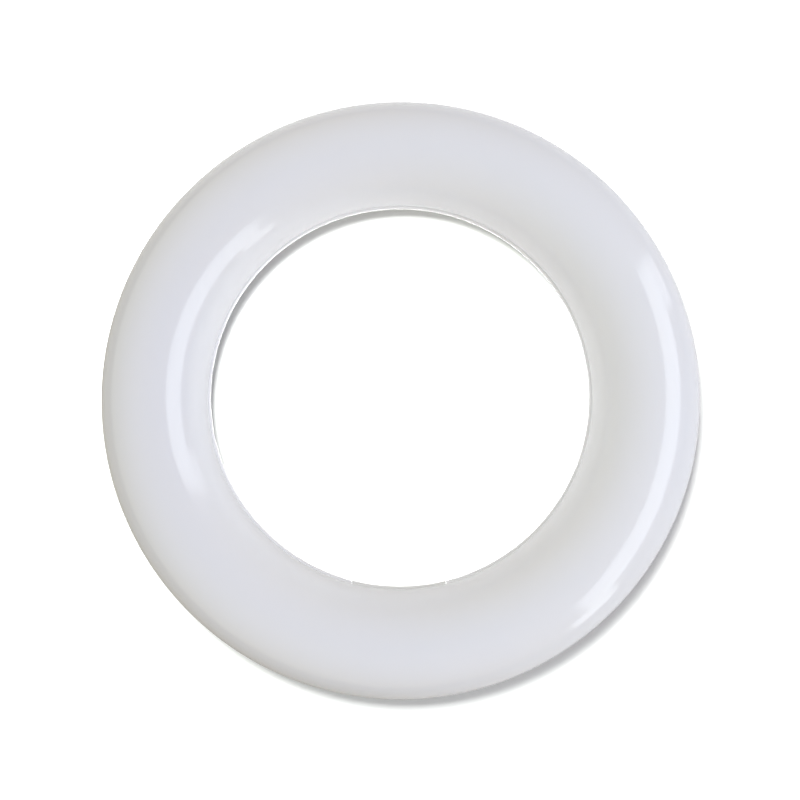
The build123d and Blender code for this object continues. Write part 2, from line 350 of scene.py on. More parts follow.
@dataclass(frozen=True)
class OpalFinish(Finish):
    """Milky polycarbonate: light enters a little, and the gloss ripples very slightly."""

    depth_of_light: float = 1.0 * MM
    depth_shares: Colour = (1.0, 0.95, 0.9)
    light_share: float = 0.2
    ripple_size: float = 16 * MM
    ripple_layers: float = 1.0
    ripple_share: float = 0.9

    RIPPLE_SEED = 5.0                # added to the seed, so that the ripple follows no other noise

    def relief(self, graph: Graph) -> Wire:
        """Slow ripple of the moulding with the fine grain on it."""
        ripple = graph.noise(self.ripple_size, self.ripple_layers, self.seed + self.RIPPLE_SEED)
        return ripple * self.ripple_share + super().relief(graph) * (1 - self.ripple_share)

    def constants(self) -> dict[str, Input]:
        """Values that are the same all over the surface, with how light spreads inside."""
        return {**super().constants(), "Subsurface Weight": self.light_share,
                "Subsurface Scale": self.depth_of_light, "Subsurface Radius": self.depth_shares}


@dataclass(frozen=True)
class RingedFinish(Finish):
    """Surface with even rings along one axis, such as turned brass or wound wire, with painted shade in its
    grooves.
    """

    direction: Direction = Direction.Z
    pitch: float = 0.12 * MM
    # painted shade: colour that the grooves are darkened towards
    groove_shade_colour: Colour = (0.4, 0.3, 0.16)
    groove_shade_share: float = 0.35

    def colours(self, graph: Graph) -> Wire:
        """Base colour, darker in the grooves as painted shade."""
        # painted shade: the grooves are darker in colour, not only in relief
        groove = (1 - graph.waves(self.direction, self.pitch)) * self.groove_shade_share
        return graph.mix(groove, super().colours(graph), self.groove_shade_colour)

    def relief(self, graph: Graph) -> Wire:
        """Height of the rings, from 0 in a groove to 1 on a crest."""
        return graph.waves(self.direction, self.pitch)


@dataclass(frozen=True)
class BoardFinish(Finish):
    """Coated circuit board: copper tracks that follow the ring raise the coating."""

    centre_radius: float = 0.0
    track_colour: Colour = (0.8, 0.8, 0.78)
    track_pitch: float = 2.6 * MM
    track_width: float = 0.32        # share of the pitch
    track_edge: float = 0.03
    break_sweep: float = 9.0         # degrees from one break in a track to the next
    break_width: float = 0.02
    weave_pitch: float = 0.5 * MM
    weave_share: float = 0.15

    def tracks(self, graph: Graph) -> Wire:
        """Mask of the tracks, 1 on a track.

        Args:
            graph: the material's graph.

        Returns:
            The mask.
        """
        x, y, _ = graph.axes()
        offset = (x * x + y * y) ** 0.5 - self.centre_radius
        azimuth = y.angle_to(x) * (HALF_TURN / pi)
        lane = 0.5 - (offset / self.track_pitch).from_middle()
        gap = 0.5 - (azimuth / self.break_sweep).from_middle()
        across = lane.eased(self.track_width - self.track_edge, self.track_width + self.track_edge)
        return across * gap.eased(self.break_width, self.break_width + self.track_edge)

    def weave(self, graph: Graph) -> Wire:
        """Height of the glass cloth that shows faintly through the coating."""
        return graph.waves(Direction.X, self.weave_pitch) * graph.waves(Direction.Y, self.weave_pitch)

    def colours(self, graph: Graph) -> Wire:
        """Coating colour, lighter over the tracks."""
        return graph.mix(self.tracks(graph), super().colours(graph), self.track_colour)

    def relief(self, graph: Graph) -> Wire:
        """Tracks and a trace of the cloth."""
        return self.tracks(graph) * (1 - self.weave_share) + self.weave(graph) * self.weave_share


@dataclass(frozen=True)
class BandedFinish(Finish):
    """Lacquered resistor with plain colour bands and tinned legs, along the ring at one place."""

    centre: tuple[float, float] = (0.0, 0.0)
    azimuth: float = 0.0
    half_length: float = 3.0 * MM
    band_places: tuple[float, ...] = (-1.9 * MM, -0.9 * MM, 0.1 * MM, 1.9 * MM)
    band_half_width: float = 0.24 * MM
    band_colours: tuple[Colour, ...] = ((0.25, 0.08, 0.03), (0.02, 0.02, 0.02), (0.5, 0.05, 0.03),
                                        (0.5, 0.36, 0.1))
    leg_colour: Colour = (0.68, 0.68, 0.66)

    def along(self, graph: Graph) -> Wire:
        """Distance from the body's middle along its axis.

        Args:
            graph: the material's graph.

        Returns:
            The distance in metres.
        """
        x, y, _ = graph.axes()
        turn = radians(self.azimuth)
        return (y - self.centre[1]) * cos(turn) - (x - self.centre[0]) * sin(turn)

    def legs(self, graph: Graph) -> Wire:
        """Mask of the legs, 1 past the body's ends."""
        return abs(self.along(graph)) > self.half_length

    def colours(self, graph: Graph) -> Wire:
        """Lacquer with its bands, and the metal of the legs.

        Args:
            graph: the material's graph.

        Returns:
            The colour.
        """
        along = self.along(graph)
        colour = super().colours(graph)
        for place, band in zip(self.band_places, self.band_colours):
            colour = graph.mix(abs(along - place) < self.band_half_width, colour, band)
        return graph.mix(self.legs(graph), colour, self.leg_colour)

    def metals(self, graph: Graph) -> Input:
        """Metal on the legs alone."""
        return self.legs(graph)


def spread(start: float, end: float, count: int) -> list[float]:
    """Evenly spaced values from start to end, one more of them than the count."""
    return [start + (end - start) * index / count for index in range(count + 1)]


class Outline:
    """Half of a section that is the same on both sides of the tube, from its middle line and back to it."""

    EASE_STEPS = 4

    def __init__(self) -> None:
        """Starts with no point."""
        self._corners: list[tuple[Vector, float]] = []

    def to(self, offset: float, height: float, ease: float = 0.0) -> "Outline":
        """Adds a corner, whose rounding starts at the distance ease from it, or a plain point."""
        self._corners.append((Vector((offset, height)), ease))
        return self

    def arc(self, centre: Sequence[float], radius: float, start: float, end: float,
            step: float) -> "Outline":
        """Adds points on an arc.

        Args:
            centre: centre of the arc.
            radius: radius of the arc.
            start: first angle in degrees, from the outward direction.
            end: last angle in degrees.
            step: largest angle between two points.

        Returns:
            The outline itself.
        """
        for angle in spread(start, end, max(1, ceil(abs(end - start) / step))):
            turn = radians(angle)
            self.to(centre[0] + radius * cos(turn), centre[1] + radius * sin(turn))
        return self

    def loop(self) -> Loop:
        """Whole outline with its corners rounded.

        Returns:
            Points of the outer half, then of the inner half, without a repeated point.
        """
        half: Loop = []
        places = [corner for corner, _ in self._corners]
        for index, (corner, ease) in enumerate(self._corners):
            if ease == 0.0:
                half.append(corner)
                continue
            start = corner + (places[index - 1] - corner).normalized() * ease
            end = corner + (places[index + 1] - corner).normalized() * ease
            for share in spread(0.0, 1.0, self.EASE_STEPS):
                half.append(start * (1 - share) ** 2 + corner * (2 * share * (1 - share)) + end * share ** 2)
        return half + [Vector((-point.x, point.y)) for point in reversed(half[1:-1])]


def middle_of(node: str) -> Vector:
    """Middle of the box of a node of the construction model."""
    low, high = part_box(node)
    return (low + high) / 2


def placed(name: str, data: bpy.types.ID) -> bpy.types.Object:
    """Puts an object into the scene.

    Args:
        name: its name.
        data: its mesh, light or camera.

    Returns:
        The object.
    """
    piece = bpy.data.objects.new(name, data)
    bpy.context.scene.collection.objects.link(piece)
    return piece


def finished_piece(name: str, mesh: bpy.types.Mesh, finish: Finish, *nodes: str) -> bpy.types.Object:
    """Makes a piece of the lamp from a mesh.

    Args:
        name: name of the new piece.
        mesh: its mesh, in the row's frame.
        finish: its finish, which also names its material slot.
        nodes: nodes of the construction model that it stands for.

    Returns:
        The piece, which rides on the lamp's body.
    """
    mesh.name = name
    mesh.shade_smooth()
    mesh.set_sharp_from_angle(angle=radians(CREASE_ANGLE))
    mesh.materials.clear()
    mesh.materials.append(finish.material())
    piece = placed(name, mesh)
    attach(piece, BODY)
    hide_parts(*nodes)
    log.info("%s: %d faces", name, len(mesh.polygons))
    return piece


def dressed_node(name: str, material: bpy.types.Material, slot: str) -> None:
    """Gives a node of the construction model its finish.

    Args:
        name: name of the node.
        material: material that it gets.
        slot: its material slot; not used.
    """
    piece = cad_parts[name]
    for material_slot in piece.material_slots:
        material_slot.material = material
    log.info("%s: finish %s", name, material.name)


def mesh_from(vertices: Sequence[Vector], faces: Sequence[Sequence[int]]) -> bpy.types.Mesh:
    """Mesh with outward faces.

    Args:
        vertices: its points.
        faces: point numbers of each face.

    Returns:
        The mesh.
    """
    mesh = bpy.data.meshes.new("form")
    mesh.from_pydata([tuple(point) for point in vertices], [], faces)
    form = bmesh.new()
    form.from_mesh(mesh)
    bmesh.ops.recalc_face_normals(form, faces=form.faces)
    form.to_mesh(mesh)
    form.free()
    return mesh


def worked(base: bpy.types.Mesh, tool: bpy.types.Mesh, cut: Cut) -> bpy.types.Mesh:
    """Joins a solid to another, or cuts it out.

    Args:
        base: solid that is worked on.
        tool: solid that is joined or cut out.
        cut: which of the two.

    Returns:
        The new solid.
    """
    pieces = [placed("base", base), placed("tool", tool)]
    step = pieces[0].modifiers.new("cut", "BOOLEAN")
    step.operation, step.solver, step.object = cut.value, "EXACT", pieces[1]
    evaluated = pieces[0].evaluated_get(bpy.context.evaluated_depsgraph_get())
    result = bpy.data.meshes.new_from_object(evaluated)
    for piece in pieces:
        bpy.data.objects.remove(piece)
    return result


def joined(meshes: Sequence[bpy.types.Mesh]) -> bpy.types.Mesh:
    """Puts separate solids into one mesh.

    Args:
        meshes: the solids, which don't touch each other.

    Returns:
        One mesh that holds them all.
    """
    form = bmesh.new()
    for mesh in meshes:
        form.from_mesh(mesh)
    whole = bpy.data.meshes.new("form")
    form.to_mesh(whole)
    form.free()
    return whole


def turned(profile: Sequence[tuple[float, float]], place: Vector, steps: int = 64) -> bpy.types.Mesh:
    """Solid turned about an upright axis.

    Args:
        profile: radius and height of each point, from the lower end to the upper end, both on the axis.
        place: foot of the axis.
        steps: number of faces around.

    Returns:
        The solid.
    """
    lower, *rings, upper = profile
    vertices = [place + Vector((0, 0, lower[1])), place + Vector((0, 0, upper[1]))]
    for radius, height in rings:
        for index in range(steps):
            angle = 2 * pi * index / steps
            vertices.append(place + Vector((radius * cos(angle), radius * sin(angle), height)))
    last = 2 + (len(rings) - 1) * steps
    faces: list[tuple[int, ...]] = []
    for index in range(steps):
        after = (index + 1) % steps
        faces.append((0, 2 + after, 2 + index))
        faces.append((1, last + index, last + after))
        for ring in range(len(rings) - 1):
            low, high = 2 + ring * steps, 2 + (ring + 1) * steps
            faces.append((low + index, low + after, high + after, high + index))
    return mesh_from(vertices, faces)


def bar(place: Vector, radius: float, low: float, high: float) -> bpy.types.Mesh:
    """Plain round bar on an upright axis, between two heights above the foot of the axis."""
    return turned([(0.0, low), (radius, low), (radius, high), (0.0, high)], place)


@dataclass
class Ring:
    """Sizes that all mouldings of the lamp share, read from the construction model where it gives them."""

    bead_proud: float = 0.6 * MM
    bead_radius: float = 0.7 * MM
    bead_drop: float = 0.25 * MM     # top of the bead below the seam, which leaves a fine groove
    cover_wall: float = 1.5 * MM
    shell_wall: float = 1.6 * MM
    floor_height: float = 1.6 * MM
    tongue_wall: float = 0.9 * MM
    tongue_shelf: float = 1.2 * MM
    clearance: float = 0.1 * MM
    catch_count: int = 8
    catch_proud: float = 0.5 * MM
    catch_height: float = 0.8 * MM
    catch_sweep: float = 5.0
    catch_play: float = 1.0
    ledge_offset: float = 10.0 * MM
    ledge_thickness: float = 1.4 * MM
    edge_ease: float = 0.14 * MM
    recess_slant: float = 0.01 * MM
    corner_margin: float = 1.0       # degrees of an arc that are left to the rounding of its end
    section_step: float = 3.0
    bead_step: float = 11.0
    azimuth_step: float = 1.0
    catch_end_sweep: float = 0.12
    section_gap: float = 0.18        # least angle between an even section and the end of a catch
    seam: float = field(init=False)
    tube_radius: float = field(init=False)
    centre_radius: float = field(init=False)
    tongue_depth: float = field(init=False)
    board_drop: float = field(init=False)

    def __post_init__(self) -> None:
        """Reads the ring's main sizes from the construction model."""
        shell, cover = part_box("back_shell"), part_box("diffuser_cover")
        self.seam = shell[1].z
        self.tube_radius = cover[1].z - self.seam
        self.centre_radius = shell[1].y - self.bead_proud - self.tube_radius
        self.tongue_depth = self.seam - cover[0].z
        self.board_drop = self.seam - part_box("led_board_1")[0].z

    @property
    def cover_inner(self) -> float:
        """Inside radius of the cover's section."""
        return self.tube_radius - self.cover_wall

    @property
    def shell_inner(self) -> float:
        """Inside radius of the shell's section."""
        return self.tube_radius - self.shell_wall

    @property
    def tongue_outer(self) -> float:
        """Offset of the tongue's outer face."""
        return sqrt(self.shell_inner ** 2 - self.tongue_depth ** 2) - self.clearance

    @property
    def tongue_inner(self) -> float:
        """Offset of the tongue's inner face."""
        return self.tongue_outer - self.tongue_wall

    def point(self, azimuth: float, offset: float, height: float) -> Vector:
        """Place on the ring, by its distance outwards from the centre circle and its height."""
        turn, radius = radians(azimuth), self.centre_radius + offset
        return Vector((radius * cos(turn), radius * sin(turn), height))

    def swept(self, section: Callable[[float], Loop], azimuths: Sequence[float]) -> bpy.types.Mesh:
        """Solid that a section makes along the ring.

        Args:
            section: outline at an azimuth, with the same number of points at each.
            azimuths: where the section is set, in rising order; a full turn leaves out its end.

        Returns:
            The solid, closed on itself after a full turn and with two end faces otherwise.
        """
        loops = [section(azimuth) for azimuth in azimuths]
        size = len(loops[0])
        vertices = [self.point(azimuth, point.x, self.seam + point.y)
                    for azimuth, loop in zip(azimuths, loops) for point in loop]
        whole = azimuths[-1] - azimuths[0] > FULL_TURN - 2 * self.azimuth_step
        spans = len(loops) if whole else len(loops) - 1
        faces: list[tuple[int, ...]] = []
        for span in range(spans):
            here, there = span * size, (span + 1) % len(loops) * size
            for index in range(size):
                after = (index + 1) % size
                faces.append((here + index, here + after, there + after, there + index))
        if not whole:
            faces.append(tuple(range(size)))
            faces.append(tuple(range(spans * size, (spans + 1) * size)))
        return mesh_from(vertices, faces)

    def azimuths(self, start: float, end: float, catch_sweep: float) -> list[float]:
        """Azimuths of the sections, with both ends of each catch among them.

        Args:
            start: first azimuth.
            end: last azimuth, which a full turn leaves out.
            catch_sweep: degrees that one catch or recess takes.

        Returns:
            The azimuths in rising order.
        """
        places = spread(start, end, round((end - start) / self.azimuth_step))
        if end - start >= FULL_TURN:
            places.pop()
        edges = []
        for centre in self.catch_centres():
            for side in (-1, 1):
                edge = centre + side * catch_sweep / 2
                edges += [edge, edge + side * self.catch_end_sweep]
        edges = [turn for edge in edges for turn in (edge, edge + FULL_TURN) if start < turn < end]
        kept = [place for place in places
                if place in (start, end) or all(abs(place - edge) > self.section_gap for edge in edges)]
        return sorted(kept + edges)

    def catch_centres(self) -> list[float]:
        """Azimuths of the catches' middles."""
        return [FULL_TURN / self.catch_count * (index + 0.5) for index in range(self.catch_count)]

    def on_catch(self, azimuth: float, catch_sweep: float) -> bool:
        """Whether a catch or recess of that length reaches an azimuth."""
        turns = [(azimuth - centre + HALF_TURN) % FULL_TURN - HALF_TURN for centre in self.catch_centres()]
        return min(abs(turn) for turn in turns) <= catch_sweep / 2 + AZIMUTH_PLAY

    def back_half(self, floor: float, recess: float) -> Outline:
        """Section of the back of the tube with its rim bead and board ledges.

        Args:
            floor: height of the inside floor above the rest land.
            recess: depth of the catch recess in the wall, 0 between the recesses.

        Returns:
            Its outline.
        """
        outline, ease, fine = Outline(), self.edge_ease, self.edge_ease / 2
        middle, tube, inner = (0.0, 0.0), self.tube_radius, self.shell_inner
        bead = Vector((tube + self.bead_proud - self.bead_radius, -self.bead_drop - self.bead_radius))
        along = (tube ** 2 - self.bead_radius ** 2 + bead.length_squared) / (2 * bead.length)
        foot = degrees(atan2(bead.y, bead.x) - acos(along / tube))
        foot_point = Vector((tube * cos(radians(foot)), tube * sin(radians(foot))))
        bead_foot = degrees(atan2(foot_point.y - bead.y, foot_point.x - bead.x))
        land = -degrees(asin(self.seam / tube))
        outline.to(0.0, -self.seam)
        outline.to(tube * cos(radians(land)), -self.seam, ease)
        outline.arc(middle, tube, land + self.corner_margin, foot - self.corner_margin, self.section_step)
        outline.to(*foot_point, fine)
        outline.arc(bead, self.bead_radius, bead_foot + self.bead_step, UPWARD, self.bead_step)
        outline.to(bead.x, 0.0, fine)
        outline.to(self.wall_at(-self.clearance), 0.0, ease)
        top, bottom = -self.clearance - self.catch_height, -self.tongue_depth - self.clearance
        slant = self.recess_slant
        for height, depth in ((top, 0.0), (top - slant, recess), (bottom + slant, recess), (bottom, 0.0)):
            outline.to(self.wall_at(height) + depth, height)
        ledge_top = -self.board_drop
        ledge_bottom = ledge_top - self.ledge_thickness
        outline.to(self.wall_at(ledge_top), ledge_top)
        outline.to(self.ledge_offset, ledge_top, ease)
        outline.to(self.ledge_offset, ledge_bottom, ease)
        outline.to(self.wall_at(ledge_bottom), ledge_bottom)
        level = floor - self.seam
        outline.arc(middle, inner, -degrees(asin(-ledge_bottom / inner)) - self.corner_margin,
                    -degrees(asin(-level / inner)), self.section_step)
        outline.to(0.0, level)
        return outline

    def wall_at(self, height: float) -> float:
        """Offset of the shell's inside at a height from the seam."""
        return sqrt(self.shell_inner ** 2 - height ** 2)


@dataclass
class DiffuserCover:
    """Opal front half of the tube, with a tongue and its catches inside the shell's rim."""

    ring: Ring
    finish: OpalFinish
    rim_margin: float = 1.5          # degrees of the outer arc that are left to the rounded rim

    def section(self, azimuth: float) -> Loop:
        """Outline of the cover at an azimuth.

        Args:
            azimuth: degrees about Z.

        Returns:
            The outline's points.
        """
        ring, outline = self.ring, Outline()
        ease, fine = ring.edge_ease, ring.edge_ease / 2
        proud = ring.catch_proud if ring.on_catch(azimuth, ring.catch_sweep) else 0.0
        tip, shelf = -ring.tongue_depth, ring.tongue_shelf
        crest = tip + ring.catch_height
        outer, inner = ring.tongue_outer, ring.tongue_inner
        outline.arc((0.0, 0.0), ring.tube_radius, UPWARD, self.rim_margin, ring.section_step)
        outline.to(ring.tube_radius, 0.0, ease)
        outline.to(outer, 0.0)
        outline.to(outer, crest + 2 * ring.recess_slant)
        outline.to(outer + proud, crest - ease, fine)
        outline.to(outer + proud, tip + ease, fine)
        outline.to(outer, tip, fine)
        outline.to(inner, tip, ease)
        outline.to(inner, shelf, ease)
        start = degrees(asin(shelf / ring.cover_inner))
        outline.arc((0.0, 0.0), ring.cover_inner, start, UPWARD, ring.section_step)
        return outline.loop()

    def build(self) -> None:
        """Makes the cover."""
        azimuths = self.ring.azimuths(0.0, FULL_TURN, self.ring.catch_sweep)
        mesh = self.ring.swept(self.section, azimuths)
        finished_piece("opal_diffuser", mesh, self.finish, "diffuser_cover")


@dataclass
class BackShell:
    """White back half of the ring with its screw bosses, open at the lamp cap."""

    ring: Ring
    finish: Finish
    cap_azimuth: float = 270.0
    cap_half_sweep: float = 14.15
    boss_azimuths: tuple[float, ...] = (353.0, 67.0, 113.0, 187.0, 233.0, 289.5)
    boss_radius: float = 3.0 * MM
    pilot_radius: float = 1.27 * MM
    pilot_depth: float = 6.0 * MM
    post_places: tuple[tuple[float, float], ...] = ((297.2, 0.0), (325.3, -4.6 * MM))    # azimuth, offset
    post_radius: float = 2.5 * MM
    post_top: float = 3.6 * MM
    post_pilot_radius: float = 1.02 * MM
    post_pilot_bottom: float = 1.0 * MM
    mark_count: int = 9
    mark_radius: float = 1.7 * MM
    mark_depth: float = 0.12 * MM
    over: float = 0.5 * MM           # how far a cutting solid reaches out of its hole

    def section(self, azimuth: float) -> Loop:
        """Outline of the shell at an azimuth.

        Args:
            azimuth: degrees about Z.

        Returns:
            The outline's points.
        """
        ring = self.ring
        sweep = ring.catch_sweep + ring.catch_play
        recess = ring.catch_proud if ring.on_catch(azimuth, sweep) else 0.0
        return ring.back_half(ring.floor_height, recess).loop()

    def bosses(self) -> bpy.types.Mesh:
        """Screw bosses of the boards and posts of the driver, sunk into the floor.

        Returns:
            The bosses and posts.
        """
        ring = self.ring
        root, board = ring.floor_height / 2, ring.seam - ring.board_drop
        ease = ring.edge_ease
        bars = [(ring.point(azimuth, 0.0, 0.0), self.boss_radius, board) for azimuth in self.boss_azimuths]
        bars += [(ring.point(azimuth, offset, 0.0), self.post_radius, self.post_top)
                 for azimuth, offset in self.post_places]
        return joined([turned([(0.0, root), (radius, root), (radius, top - ease), (radius - ease, top),
                               (0.0, top)], place) for place, radius, top in bars])

    def hollows(self) -> bpy.types.Mesh:
        """Pilot holes of the screws and the shallow round marks that the mould leaves in the rest land.

        Returns:
            The solids to cut out.
        """
        ring, over = self.ring, self.over
        board = ring.seam - ring.board_drop
        bars = [bar(ring.point(azimuth, 0.0, 0.0), self.pilot_radius, board - self.pilot_depth, board + over)
                for azimuth in self.boss_azimuths]
        bars += [bar(ring.point(azimuth, offset, 0.0), self.post_pilot_radius, self.post_pilot_bottom,
                     self.post_top + over) for azimuth, offset in self.post_places]
        first = self.cap_azimuth + self.cap_half_sweep
        step = (FULL_TURN - 2 * self.cap_half_sweep) / self.mark_count
        bars += [bar(ring.point(first + step * (index + 0.5), 0.0, 0.0), self.mark_radius, -over,
                     self.mark_depth) for index in range(self.mark_count)]
        return joined(bars)

    def build(self) -> None:
        """Makes the shell."""
        ring = self.ring
        start = self.cap_azimuth + self.cap_half_sweep
        end = self.cap_azimuth + FULL_TURN - self.cap_half_sweep
        azimuths = ring.azimuths(start, end, ring.catch_sweep + ring.catch_play)
        mesh = ring.swept(self.section, azimuths)
        mesh = worked(mesh, self.bosses(), Cut.JOIN)
        mesh = worked(mesh, self.hollows(), Cut.REMOVE)
        finished_piece("white_back_shell", mesh, self.finish, "back_shell")


@dataclass
class LampCap:
    """Moulding that bridges the ends of the shell: pocket, pin plate, spigots and the four pins."""

    ring: Ring
    finish: Finish
    pin_finish: Finish
    azimuth: float = 270.0
    half_sweep: float = 14.0
    pocket_half_sweep: float = 11.5
    pocket_half_width: float = 8.7 * MM
    pocket_corner: float = 1.0 * MM
    pocket_over: float = 0.7 * MM    # how far the pocket's solid reaches below the rest land
    corner_steps: int = 6
    middle_steps: int = 24
    plate_bottom: float = 8.0 * MM
    plate_thickness: float = 1.6 * MM
    spigot_sweep: float = 2.5
    spigot_clearance: float = 0.15 * MM
    spigot_wall: float = 1.35 * MM
    spigot_top: float = 9.4 * MM
    spigot_root: float = 1.0         # degrees of a spigot that are inside the cap
    spigot_steps: int = 4
    pin_count: int = 4
    pin_radius: float = 1.2 * MM
    pin_tip: float = 0.6 * MM
    tip_steps: int = 8
    pin_length: float = 7.0 * MM
    pin_ease: float = 0.06 * MM
    shank_radius: float = 1.5 * MM
    shank_over: float = 1.0 * MM     # how far a shank's cutting solid reaches out of the plate
    collar: tuple[float, float] = (2.0 * MM, 0.5 * MM)      # radius and height
    tail: tuple[float, float] = (0.7 * MM, 0.9 * MM)        # radius and height
    solder_radius: float = 0.42 * MM
    solder_sink: float = 0.16 * MM
    solder_form: tuple[tuple[float, float], ...] = ((0.0, 1.0), (0.55, 0.8), (1.0, 0.15))   # shares of both

    def section(self, azimuth: float) -> Loop:
        """Outline of the cap's body, which has a raised floor."""
        return self.ring.back_half(self.plate_bottom + self.plate_thickness, 0.0).loop()

    def pocket(self) -> bpy.types.Mesh:
        """Room of the pocket, which follows the ring and has rounded upright corners.

        Returns:
            The solid to cut out.
        """
        ring, corner = self.ring, self.pocket_corner
        low, high = -self.pocket_over - ring.seam, self.plate_bottom - ring.seam
        turns = spread(0.0, pi / 2, self.corner_steps)
        ends = [(corner * (1 - sin(turn)), corner * (1 - cos(turn))) for turn in turns]
        radius = ring.centre_radius
        stations = [(degrees(along / radius), inset) for inset, along in ends]
        start, end = self.azimuth - self.pocket_half_sweep, self.azimuth + self.pocket_half_sweep
        rising = [(start + along, inset) for along, inset in stations]
        falling = [(end - along, inset) for along, inset in reversed(stations)]
        inner_start, inner_end = rising[-1][0], falling[0][0]
        middle = [(azimuth, 0.0) for azimuth in spread(inner_start, inner_end, self.middle_steps)[1:-1]]
        insets = dict(rising + middle + falling)

        def section(azimuth: float) -> Loop:
            """Rectangle of the room at an azimuth, narrower near its ends."""
            half = self.pocket_half_width - insets[azimuth]
            return [Vector(place) for place in ((half, low), (half, high), (-half, high), (-half, low))]

        return ring.swept(section, sorted(insets))

    def spigots(self) -> bpy.types.Mesh:
        """Thin walls at both ends that reach inside the shell.

        Returns:
            The walls.
        """
        ring = self.ring
        outer = ring.shell_inner - self.spigot_clearance
        inner = outer - self.spigot_wall
        low = ring.floor_height + self.spigot_clearance - ring.seam
        floor, top = low + self.spigot_wall, self.spigot_top - ring.seam
        outline = Outline().to(0.0, low)
        for radius, first, last in ((outer, low, top), (inner, top, floor)):
            outline.arc((0.0, 0.0), radius, degrees(asin(first / radius)), degrees(asin(last / radius)),
                        ring.section_step)
        outline.to(0.0, floor)
        loop = outline.loop()
        ends = []
        for side in (-1, 1):
            reach = sorted((self.azimuth + side * (self.half_sweep - self.spigot_root),
                            self.azimuth + side * (self.half_sweep + self.spigot_sweep)))
            ends.append(ring.swept(lambda azimuth: loop, spread(*reach, self.spigot_steps)))
        return joined(ends)

    def pin_places(self) -> list[Vector]:
        """Feet of the pins' axes, read from the construction model."""
        middles = [middle_of(f"cap_pin_{number}") for number in range(1, self.pin_count + 1)]
        return [Vector((middle.x, middle.y, 0.0)) for middle in middles]

    def build(self) -> None:
        """Makes the cap and its pins."""
        ring = self.ring
        start, end = self.azimuth - self.half_sweep, self.azimuth + self.half_sweep
        azimuths = spread(start, end, round((end - start) / ring.azimuth_step))
        mesh = worked(ring.swept(self.section, azimuths), self.pocket(), Cut.REMOVE)
        mesh = worked(mesh, self.spigots(), Cut.JOIN)
        low = self.plate_bottom - self.shank_over
        high = self.plate_bottom + self.plate_thickness + self.shank_over
        holes = joined([bar(place, self.shank_radius, low, high) for place in self.pin_places()])
        mesh = worked(mesh, holes, Cut.REMOVE)
        finished_piece("lamp_cap_moulding", mesh, self.finish, "lamp_cap")
        for number, place in enumerate(self.pin_places(), 1):
            self.build_pin(number, place)

    def build_pin(self, number: int, place: Vector) -> None:
        """Makes one pin: a turned contact with a rounded tip and a dimple of solder, shank, collar and tail.

        Args:
            number: number of the pin.
            place: foot of its axis.
        """
        foot, top = self.plate_bottom - self.pin_length, self.plate_bottom + self.plate_thickness
        ease = self.pin_ease
        profile = [(self.solder_radius * across, foot + self.solder_sink * up)
                   for across, up in self.solder_form]
        profile.append((self.solder_radius + ease, foot))
        profile += [(self.pin_radius - self.pin_tip * (1 - sin(turn)), foot + self.pin_tip * (1 - cos(turn)))
                    for turn in spread(0.0, pi / 2, self.tip_steps)]
        collar_radius, collar_height = self.collar
        tail_radius, tail_height = self.tail
        collar_top = top + collar_height
        tail_top = collar_top + tail_height
        profile += [(self.pin_radius, self.plate_bottom - ease), (self.shank_radius, self.plate_bottom),
                    (self.shank_radius, top), (collar_radius - ease, top), (collar_radius, top + ease),
                    (collar_radius, collar_top - ease), (collar_radius - ease, collar_top),
                    (tail_radius + ease, collar_top), (tail_radius, collar_top + ease),
                    (tail_radius, tail_top - 2 * ease), (tail_radius - 2 * ease, tail_top), (0.0, tail_top)]
        finished_piece(f"brass_pin_{number}", turned(profile, place), self.pin_finish, f"cap_pin_{number}")


@dataclass
class Lighting:
    """LED boards with their packages, links and screws, all sealed inside."""

    board: BoardFinish
    frame_finish: Finish
    phosphor: Finish
    link: Finish
    screw: Finish
    board_count: int = 3

    def dress(self) -> None:
        """Gives every node its finish."""
        groups = {self.board: "led_board", self.frame_finish: "led_bodies", self.phosphor: "led_phosphor"}
        for finish, stem in groups.items():
            material = finish.material()
            for number in range(1, self.board_count + 1):
                dressed_node(f"{stem}_{number}", material, finish.slot)
        dressed_node("board_links", self.link.material(), self.link.slot)
        screw = self.screw.material()
        for name in ("board_screws", "driver_screws"):
            dressed_node(name, screw, self.screw.slot)


@dataclass
class Driver:
    """Driver board, the parts on it, its insulation and its leads, all sealed inside."""

    finishes: dict[str, Finish]

    def dress(self) -> None:
        """Gives every node its finish."""
        materials = {finish: finish.material() for finish in dict.fromkeys(self.finishes.values())}
        for name, finish in self.finishes.items():
            dressed_node(name, materials[finish], finish.slot)


